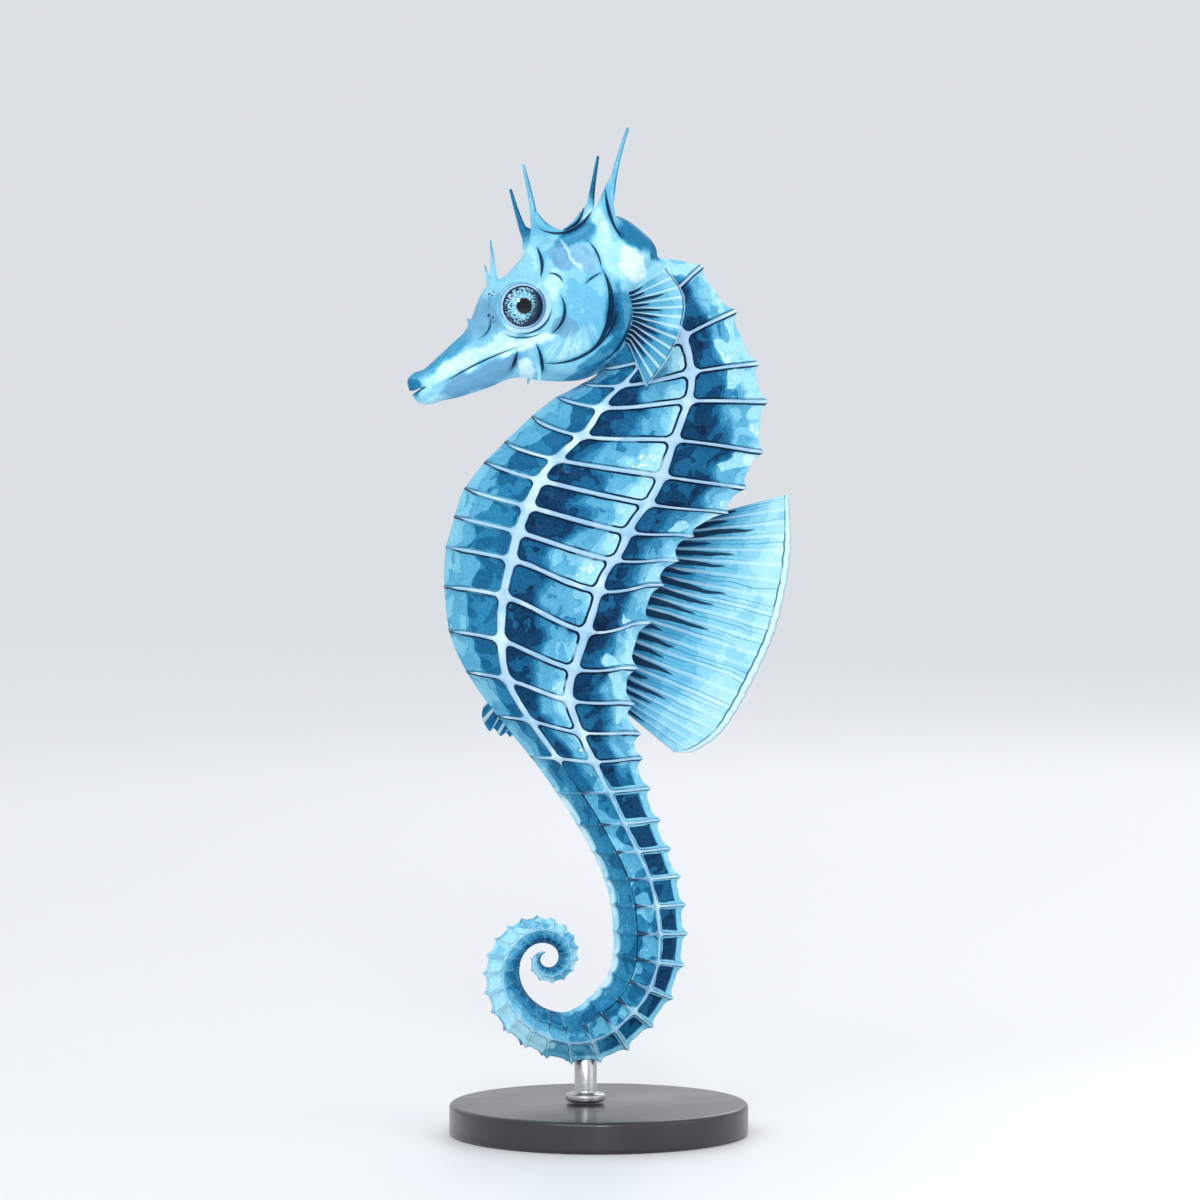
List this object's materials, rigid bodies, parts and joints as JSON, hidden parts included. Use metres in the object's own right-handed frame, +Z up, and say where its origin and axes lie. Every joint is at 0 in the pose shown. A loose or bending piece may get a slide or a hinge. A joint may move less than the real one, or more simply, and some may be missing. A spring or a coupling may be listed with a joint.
{
  "type": "seahorse",
  "caption": "Seahorse with a horned crown, plated body, fanned dorsal fin and curled tail, held upright on a small display stand.",
  "frame": {"origin": "centre of the stand base's underside, on the floor", "axes": "+Z up; the animal faces -X, its left side is towards -Y, and it is symmetric about the XZ plane but for its horns, fins' ripple and curl"},
  "size_m": [0.0629, 0.048, 0.1608],
  "materials": {
    "head_skin": "smooth wet skin, pale blue",
    "horn": "smooth wet skin, paler towards the tips",
    "plate_skin": "skin drawn over bony plates, blue panels between pale ridges",
    "tail_skin": "skin drawn over bony plates, blue panels between pale ridges",
    "fin": "thin membrane with pale rays",
    "eye": "clear wet cornea over a streaked blue iris",
    "stand_black": "satin black",
    "stand_steel": "fine brushed"
  },
  "bodies": {
    "root": {"snout": "head_skin", "head": "head_skin", "horn_rear_left": "horn", "horn_rear_right": "horn", "horn_front_left": "horn", "horn_front_right": "horn", "eye_left": "eye", "eye_right": "eye", "neck": "plate_skin", "trunk_chest": "plate_skin", "trunk_belly": "plate_skin", "trunk_waist": "plate_skin", "tail_1": "tail_skin", "tail_2": "tail_skin", "tail_3": "tail_skin", "tail_4": "tail_skin", "tail_5": "tail_skin", "tail_6": "tail_skin", "tail_7": "tail_skin", "tail_8": "tail_skin", "dorsal_fin": "fin", "anal_fin": "fin", "pectoral_fin_left": "fin", "pectoral_fin_right": "fin", "stand_base": "stand_black", "stand_rod": "stand_steel"}
  },
  "joints": []
}
